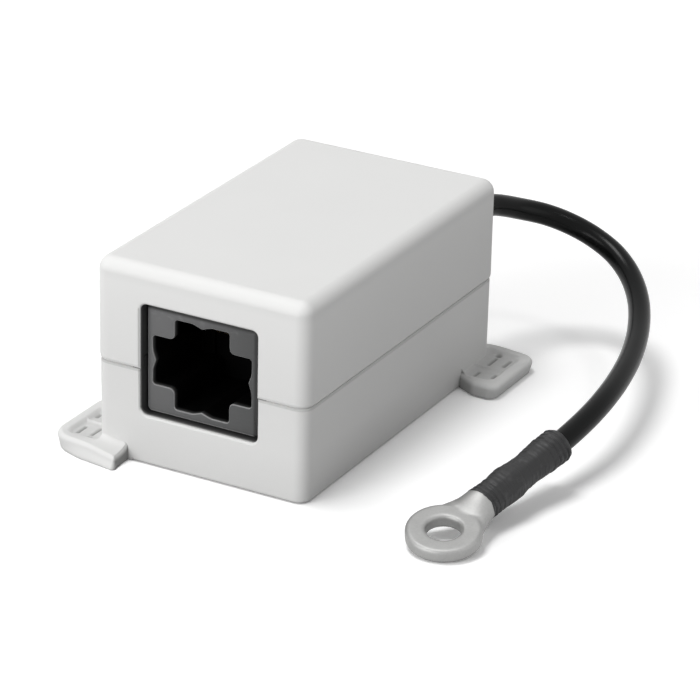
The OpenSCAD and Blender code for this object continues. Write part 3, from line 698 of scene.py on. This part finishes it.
def wrinkleTree(material, values):               # crosswise folds and one lengthwise crease
    graph, inputs = newTree("sleeveWrinkles", {
        "Fold depth": "NodeSocketFloat", "Crease depth": "NodeSocketFloat", "Skin from": "NodeSocketFloat"})
    position = graph.add("GeometryNodeInputPosition")
    normal = graph.add("GeometryNodeInputNormal")
    folds = foldNoise(graph, position, values["wrinklePattern"], detail=3.0)
    crease = foldNoise(graph, position, values["creasePattern"], detail=1.0)
    height = folds * inputs["Fold depth"] + crease * inputs["Crease depth"]
    offset = graph.add("ShaderNodeVectorMath", {"operation": "SCALE"}, {0: normal, "Scale": height})
    split = graph.add("ShaderNodeSeparateXYZ", {}, {"Vector": position})
    radius = (split * split + graph.part(split, 2) * graph.part(split, 2)) ** 0.5
    moved = graph.add("GeometryNodeSetPosition", {}, {
        "Geometry": inputs["Geometry"], "Selection": radius > inputs["Skin from"], "Offset": offset})
    closeTree(graph, moved, material)
    return graph


def makeSleeve(values):
    mesh = revolve("groundSleeve", sleeveProfile(values), values["sides"])
    piece = newPiece("groundSleeve", mesh, sleeveShrink)
    runTree(piece, wrinkleTree(sleeveShrink, values), {
        "Fold depth": values["wrinkle"], "Crease depth": values["crease"], "Skin from": values["skinFrom"]})
    piece.data.transform(onLug @ Matrix.Translation((0, lug["sleeveRun"], 0)))
    smoothBelow(piece.data, softAngle)
    return piece


groundSleeve = makeSleeve(sleeve)
print("sleeve made")


ringSkin = {"voxel": 0.12, "softness": 0.5, "passes": 6}


def makeRing(values):                            # one skin over eye, neck and barrel, soft where they meet
    piece = newPiece("ringTerminal", mergedCopy("ring_terminal"), tinnedMetal)
    skin = piece.modifiers.new("skin", "REMESH")
    skin.mode = "VOXEL"
    skin.voxel_size = values["voxel"] * millimetre
    soft = piece.modifiers.new("soft", "SMOOTH")
    soft.factor = values["softness"]
    soft.iterations = values["passes"]
    plainMesh(piece)
    piece.data.shade_smooth()
    return piece


ringTerminal = makeRing(ringSkin)
print("ring terminal made:", len(ringTerminal.data.polygons), "faces")

finishPiece(groundLead, "ground_wire")
finishPiece(groundSleeve, "ground_sleeve")
finishPiece(ringTerminal, "ring_terminal")


# Ears: a soft moulded skin for each, shaped in the rear right corner and turned round for the front
ear = {
    "wall": (12.85, 21.25, 1.45),       # half sides and corner radius of the base at the ears' height
    "draft": 0.3,                       # degrees
    "outline": [                        # free edge of the top and its radii, from wall to wall
        (11.9, 14.2, 0), (14.9, 12.5, 1.6), (17.95, 12.4, 1.1), (17.95, 22.7, 2.8), (8.9, 24.0, 0.3),
        (8.9, 20.4, 0),
    ],
    "inside": [(12.1, 14.2), (12.1, 20.4), (8.9, 20.4)],    # where the skin ends within the walls
    "pairs": [                          # shares of the outline's length, and of the inside's next to them
        (0, 0), (0.126, 0.03), (0.217, 0.12), (0.45, 0.55), (0.561, 0.66), (0.65, 0.72), (0.866, 0.97),
        (1, 1),
    ],
    "height": 1.72,
    "thinner": 0.42, "thinOver": (13.5, 8.9),       # how much lower the wrap's end is
    "coveSide": (1.1, 0.85),            # reach and rise of the hollow that runs up the side wall
    "coveEnd": (2.3, 0.75),             # and up the end wall
    "coveOver": (17.5, 21.5),           # where the one turns into the other
    "coveCut": 0.6,                     # how much of it the pocket takes away
    "edge": 0.55, "foot": 0.1,          # roundings above and beneath
    "lean": 0.3,                        # inwards at the foot, along the side
    "splay": 0.55, "splayOver": (17, 13),           # outwards at the foot, along the wrap
    "lift": 0.12, "liftOver": (15, 12.4),           # how far the near end stands off the floor
    "pocketEdge": (16.7, 14.0, 21.7, 0.04, 12.3),   # outer side, near end, far end and its slope, inner side
    "pocketDepth": 0.42, "pocketWall": (0.1, -0.5),
    "pocketCorner": 1.2, "innerCorner": 0.5,
    "slots": [(14.0, 18.5, 1.9), (15.7, 18.9, 1.7), (16.0, 15.5, 0.8), (14.0, 15.1, 1.0)],
    "slotDepth": 0.22, "slotWall": (0.26, 0.05),
    "pit": (13.9, 21.2), "pitWall": (0.5, 0.1), "pitDepth": 1.3,       # as a share of a slot's depth
    "ribAt": 17.5, "ribHeight": 0.2, "ribWidth": 0.22,
    # painted shade on the pocket's floor and in its marks, on the side and end faces, and on the wrap's top
    "floorShade": 0.16, "markShade": 0.55, "sideShade": 0.08, "endShade": 0.85,
    "wrapShade": 0.16, "wrapOver": (20.6, 22.2),
    "mottle": [(1.6, 0, 0.25), (4, 3, 0.15)],         # scale, layer and strength of two noises that mottle the painted shade on the pocket's floor
    "stations": 260,                    # sections along the outline, and steps round each of them
    "across": 38, "edgeSteps": 6, "sideSteps": 3, "footSteps": 3,
}
# the rear one's far corner is tighter
rearEar = {**ear, "outline": [*ear["outline"][:3], (17.95, 22.7, 1.7), *ear["outline"][4:]]}


def softMax(a, b, blend):                        # the larger of two, blended where they are close
    h = max(blend - abs(a - b), 0) / blend
    return max(a, b) + h * h * blend / 4


def roundedLine(corners, steps=12):              # a line of points with its corners rounded
    line = [Vector(corners[0][:2])]
    for a, b, c in zip(corners, corners[1:], corners[2:]):
        corner, radius = Vector(b[:2]), b[2]
        back, ahead = (Vector(a[:2]) - corner).normalized(), (Vector(c[:2]) - corner).normalized()
        half = back.angle(ahead) / 2
        centre = corner + (back + ahead).normalized() * radius / math.sin(half)
        arm = corner + back * radius / math.tan(half) - centre
        turn = math.pi - 2 * half
        sense = 1 if back.cross(ahead) < 0 else -1
        for k in range(steps + 1):
            angle = sense * turn * k / steps
            line.append(centre + Vector((arm.x * math.cos(angle) - arm.y * math.sin(angle),
                                         arm.x * math.sin(angle) + arm.y * math.cos(angle))))
    return line + [Vector(corners[-1][:2])]


def alongLine(line, shares):                     # points at shares of a line's length
    lengths = [0]
    for a, b in zip(line, line[1:]):
        lengths.append(lengths[-1] + (b - a).length)
    found, i = [], 0
    for share in shares:
        at = share * lengths[-1]
        while i < len(line) - 2 and lengths[i + 1] < at:
            i += 1
        step = lengths[i + 1] - lengths[i]
        found.append(line[i].lerp(line[i + 1], min(1, (at - lengths[i]) / step) if step else 0))
    return found


def paired(share, pairs):                        # what a share stands for, between the nearest pairs
    for (a, b), (c, d) in zip(pairs, pairs[1:]):
        if share <= c:
            return b + (d - b) * (share - a) / (c - a)
    return pairs[-1][1]


def wallGap(x, y, values):                       # distance from the base's wall
    halfX, halfY, corner = values["wall"]
    dx, dy = abs(x) - halfX + corner, abs(y) - halfY + corner
    return math.hypot(max(dx, 0), max(dy, 0)) + min(max(dx, dy), 0) - corner


def inPocket(x, y, values):                      # 1 on the pocket's floor, 0 on the rim
    outer, near, far, slope, inner = values["pocketEdge"]
    corner = values["pocketCorner"]
    rim = softMax(softMax(x - outer, near - y, corner), y - far - slope * (outer - x), corner)
    rim = softMax(rim, inner - x, values["innerCorner"])
    return smoothStep(*values["pocketWall"], rim)


def earMarks(x, y, values):                      # slots and a pit in the pocket's floor
    marks = 0
    for slotX, slotY, length in values["slots"]:
        away = math.hypot(x - slotX, y - min(max(y, slotY), slotY + length))
        marks += smoothStep(*values["slotWall"], away)
    pitX, pitY = values["pit"]
    return marks + values["pitDepth"] * smoothStep(*values["pitWall"], math.hypot(x - pitX, y - pitY))


def earTop(x, y, values):
    turn = smoothStep(*values["coveOver"], y)
    (sideReach, sideRise), (endReach, endRise) = values["coveSide"], values["coveEnd"]
    reach, rise = sideReach + (endReach - sideReach) * turn, sideRise + (endRise - sideRise) * turn
    gap = min(1, max(0, wallGap(x, y, values) / reach))
    cove = rise * (1 - math.sqrt(1 - (1 - gap) ** 2))
    floor = inPocket(x, y, values)
    rib = values["ribHeight"] * math.exp(-((y - values["ribAt"]) / values["ribWidth"]) ** 2)
    sunk = rib - values["pocketDepth"] - values["slotDepth"] * earMarks(x, y, values)
    level = values["height"] - values["thinner"] * smoothStep(*values["thinOver"], x)
    return level + cove * (1 - values["coveCut"] * floor) + floor * sunk


def earShade(x, y, values):                      # painted shade: mottled on the pocket's floor, darker in its marks, and on the wrap
    mottle = sum(strength * noise.noise(Vector((scale * x, scale * y, layer)))
               for scale, layer, strength in values["mottle"])
    floor = values["floorShade"] * (1 + mottle) + values["markShade"] * min(1, earMarks(x, y, values))
    wrap = values["wrapShade"] * smoothStep(*values["wrapOver"], y)
    pocket = inPocket(x, y, values)
    return floor * pocket + wrap * (1 - pocket)


def earSection(inner, outer, normal, values):    # one closed section of the skin, with each point's painted shade
    edge, foot = values["edge"], values["foot"]
    splay = values["splay"] * max(0, normal.y) * smoothStep(*values["splayOver"], outer.x)
    lean = values["lean"] * max(0, normal.x) - splay
    low = values["lift"] * smoothStep(*values["liftOver"], outer.y)
    last = outer - edge * normal
    section = []
    for k in range(values["across"] + 1):
        p = inner.lerp(last, k / values["across"])
        section.append(((p.x, p.y, earTop(p.x, p.y, values)), earShade(p.x, p.y, values)))
    top = section[-1][0][2]
    # painted shade on the side and end faces
    sideAndEndShade = values["sideShade"] * max(0, normal.y) + values["endShade"] * max(0, -normal.x)
    steps = values["edgeSteps"]
    for k in range(1, steps + 1):
        angle = math.pi / 2 * k / steps
        p = outer - edge * (1 - math.sin(angle)) * normal
        section.append(((p.x, p.y, top - edge * (1 - math.cos(angle))), sideAndEndShade * k / steps))
    steps = values["sideSteps"]
    for k in range(1, steps + 1):
        p = outer - lean * k / steps * normal
        section.append(((p.x, p.y, top - edge + (low + foot - top + edge) * k / steps), sideAndEndShade))
    steps = values["footSteps"]
    for k in range(1, steps + 1):
        angle = math.pi / 2 * k / steps
        p = outer - (lean + foot * (1 - math.cos(angle))) * normal
        section.append(((p.x, p.y, low + foot * (1 - math.sin(angle))), sideAndEndShade))
    return section + [((inner.x, inner.y, low), 0)]


def toCorner(mesh, front):                       # from millimetres at the rear right to the ear's place
    mesh.transform(Matrix.Scale(millimetre, 4) @ Matrix.Rotation(math.pi if front else 0, 4, "Z"))


def makeEar(name, front, values):
    shares = [i / values["stations"] for i in range(values["stations"] + 1)]
    outline = alongLine(roundedLine(values["outline"]), shares)
    inside = alongLine([Vector(p) for p in values["inside"]], [paired(s, values["pairs"]) for s in shares])
    points, shade, faces = [], [], []
    for i, (inner, outer) in enumerate(zip(inside, outline)):
        run = outline[min(i + 1, len(outline) - 1)] - outline[max(i - 1, 0)]
        normal = Vector((run.y, -run.x)).normalized()
        for point, level in earSection(inner, outer, normal, values):
            points.append(point)
            shade.append(level)
    count = len(points) // len(outline)
    for i in range(len(outline) - 1):
        low, high = i * count, (i + 1) * count
        faces += [(low + k, low + (k + 1) % count, high + (k + 1) % count, high + k) for k in range(count)]
    faces += [tuple(range(count)), tuple(range(len(points) - count, len(points)))]
    mesh = closedMesh(name, points, faces)
    mesh.attributes.new("shade", "FLOAT", "POINT").data.foreach_set("value", shade)
    toCorner(mesh, front)
    smoothBelow(mesh, softAngle)
    return newPiece(name, mesh, housingPlastic)


earCut = {
    "sideFrom": 9, "endFrom": 4,        # where it starts along the side wall and along the end wall
    "reach": 9,                         # and how far it reaches beyond them
    "heights": (-1, 4.5),
    "clearance": 0.012,
    "cornerSteps": 8,
}


def earCutter(front, base, values):              # block that takes a plain ear off the base, up to the wall
    halfX, halfY, corner = base["wall"]
    reach, steps = values["reach"], values["cornerSteps"]
    points = []
    for z in values["heights"]:
        grown = (z - base["height"]) * math.tan(math.radians(base["draft"])) + values["clearance"]
        radius = corner + grown
        angles = [math.pi / 2 * k / steps for k in range(steps, -1, -1)]
        section = [(halfX + grown, values["sideFrom"]), (halfX + reach, values["sideFrom"]),
                   (halfX + reach, halfY + reach), (values["endFrom"], halfY + reach),
                   (values["endFrom"], halfY + grown)]
        section += [(halfX - corner + radius * math.cos(a), halfY - corner + radius * math.sin(a))
                    for a in angles]
        points += [(x, y, z) for x, y in section]
    count = len(points) // 2
    faces = [(k, (k + 1) % count, (k + 1) % count + count, k + count) for k in range(count)]
    faces += [tuple(range(count))[::-1], tuple(range(count, 2 * count))]
    mesh = closedMesh("earCutter", points, faces)
    toCorner(mesh, front)
    return newPiece("earCutter", mesh, housingPlastic)


def takeOffEars(piece):
    for front in (False, True):
        cutter = earCutter(front, ear, earCut)
        cut = piece.modifiers.new("cut", "BOOLEAN")
        cut.operation = "DIFFERENCE"
        cut.solver = "EXACT"
        cut.object = cutter
        plainMesh(piece)
        bpy.data.objects.remove(cutter)


# Housing
def makeCover():
    piece = newPiece("coverShell", mergedCopy("upper_cover"), housingPlastic)
    return flattenFaces(piece)


def makeBase():
    piece = newPiece("baseShell", mergedCopy("lower_base"), housingPlastic)
    takeOffEars(piece)
    return flattenFaces(piece)


finishPiece(makeCover(), "upper_cover")
finishPiece(makeBase(), "lower_base")
finishPiece(makeEar("rearEar", False, rearEar), "lower_base")
finishPiece(makeEar("frontEar", True, ear), "lower_base")
print("housing made")


socketEdges = {
    "width": 0.15,
    "noseWidth": 0.3,           # the nose's own outline is rounder
    "noseFront": 20.1,          # and runs beyond these places
    "noseHalf": 6.6, "noseBottom": 6.2, "noseTop": 18.1,
    "segments": 3,
    "flatBelow": 2,             # degrees within which neighbouring faces are joined
}


def weighEdges(mesh, values):                    # how wide each sharp edge is broken
    half, bottom, top = values["noseHalf"], values["noseBottom"], values["noseTop"]
    work = bmesh.new()
    work.from_mesh(mesh)
    weights = work.edges.layers.float.new("bevel_weight_edge")
    for line in work.edges:
        if len(line.link_faces) == 2 and line.calc_face_angle() > math.radians(shellAngle):
            places = [v.co / millimetre for v in line.verts]
            front = all(abs(p.y) > values["noseFront"] for p in places)
            outline = all(abs(p.x) > half or not bottom < p.z < top for p in places)
            line[weights] = 1 if front and outline else values["width"] / values["noseWidth"]
    work.to_mesh(mesh)
    work.free()


def makeSocket(name, values):                    # moulded edges of the socket, slightly broken
    mesh = mergedCopy("front_jack_housing", values["flatBelow"])
    weighEdges(mesh, values)
    smoothBelow(mesh, shellAngle)
    piece = newPiece(name, mesh, socketPlastic)
    bevel = piece.modifiers.new("brokenEdges", "BEVEL")
    bevel.width = values["noseWidth"] * millimetre
    bevel.segments = values["segments"]
    bevel.limit_method = "WEIGHT"
    bevel.harden_normals = True
    bevel.use_clamp_overlap = False
    return plainMesh(piece)


frontSocket = makeSocket("frontSocket", socketEdges)
rearSocket = newPiece("rearSocket", frontSocket.data.copy(), socketPlastic)
rearSocket.data.transform(Matrix.Rotation(math.pi, 4, "Z"))          # the same part turned round
finishPiece(frontSocket, "front_jack_housing")
finishPiece(rearSocket, "rear_jack_housing")
print("sockets made")


# CAD nodes that stay as they are
def paint(node, material):
    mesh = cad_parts[node].data
    mesh.materials.clear()
    mesh.materials.append(material)


for side in ("front", "rear"):
    paint(side + "_contact_carrier", socketPlastic)
    for i in range(1, 9):
        paint(f"{side}_contact_{i}", contactGold)
for i in range(1, 5):
    paint(f"surge_tube_{i}", tubeCeramic)
    paint(f"suppressor_diode_{i}", diodePlastic)
paint("circuit_board", boardLaminate)
paint("earth_terminal", tinnedMetal)
paint("case_screws", screwSteel)
print("inner parts painted")


# Floor and light
studio = {
    "floorHalf": 3,         # metres, as the lamps' sizes and distance
    "paper": 1.1,           # how much light the floor sends to the camera
    "glow": 0.08,           # and what is added there, so that it is white outside the shadows
    "bounce": 0.36,         # how much light it sends to the object
    "skyLight": 0.27,
    "lamps": {              # direction, size, and the light level on a face turned to it
        "above": {"towards": (-0.20, -0.08, 0.97), "size": 0.45, "level": 0.51},
        "front": {"towards": (-0.35, -0.90, 0.25), "size": 0.8, "level": 0.68},
        "right": {"towards": (0.95, -0.05, 0.25), "size": 0.9, "level": 0.145},
        "glint": {"towards": (0.53, -0.06, 0.85), "size": 0.14, "level": 0.045},
    },
    "lampDistance": 1.1,
}


def seenDirectly(graph):                         # camera, mirror and glass rays
    path = graph.add("ShaderNodeLightPath")
    mirror, glass = graph.part(path, "Is Glossy Ray"), graph.part(path, "Is Transmission Ray")
    return path.larger(mirror.larger(glass))


def emptyGraph(block):
    block.use_nodes = True
    graph = Graph(block.node_tree)
    graph.tree.nodes.clear()
    return graph


def makeFloor(values):
    material = bpy.data.materials.new("floorPaper")
    graph = emptyGraph(material)
    seen = seenDirectly(graph)
    level = values["bounce"] + (values["paper"] - values["bounce"]) * seen
    tint = graph.add("ShaderNodeCombineColor", {}, {0: level, 1: level, 2: level})
    paper = graph.add("ShaderNodeBsdfDiffuse", {}, {"Color": tint})
    glow = graph.add("ShaderNodeEmission", {}, {"Strength": seen * values["glow"]})
    both = graph.add("ShaderNodeAddShader", {}, {0: paper, 1: glow})
    graph.add("ShaderNodeOutputMaterial", {}, {"Surface": both})
    half = values["floorHalf"]
    corners = [(-half, -half, 0), (half, -half, 0), (half, half, 0), (-half, half, 0)]
    mesh = bpy.data.meshes.new("floor")
    mesh.from_pydata(corners, [], [(0, 1, 2, 3)])
    newPiece("floor", mesh, material)


def makeWorld(values):
    scene.world = bpy.data.worlds.new("studio")
    graph = emptyGraph(scene.world)
    seen = seenDirectly(graph)
    strength = seen + (1 - seen) * values["skyLight"]
    sky = graph.add("ShaderNodeBackground", {}, {"Color": (1, 1, 1, 1), "Strength": strength})
    graph.add("ShaderNodeOutputWorld", {}, {"Surface": sky})


def addLamps(values):
    distance = values["lampDistance"]
    for name, lamp in values["lamps"].items():
        data = bpy.data.lights.new(name, "AREA")
        data.shape = "DISK"
        data.size = lamp["size"]
        data.energy = lamp["level"] * (math.pi * distance) ** 2
        light = bpy.data.objects.new(name, data)
        towards = Vector(lamp["towards"]).normalized()
        light.location = distance * towards
        light.rotation_mode = "QUATERNION"
        light.rotation_quaternion = towards.to_track_quat("Z", "Y")
        scene.collection.objects.link(light)


makeFloor(studio)
makeWorld(studio)
addLamps(studio)
print("studio made")

bpy.context.view_layer.update()
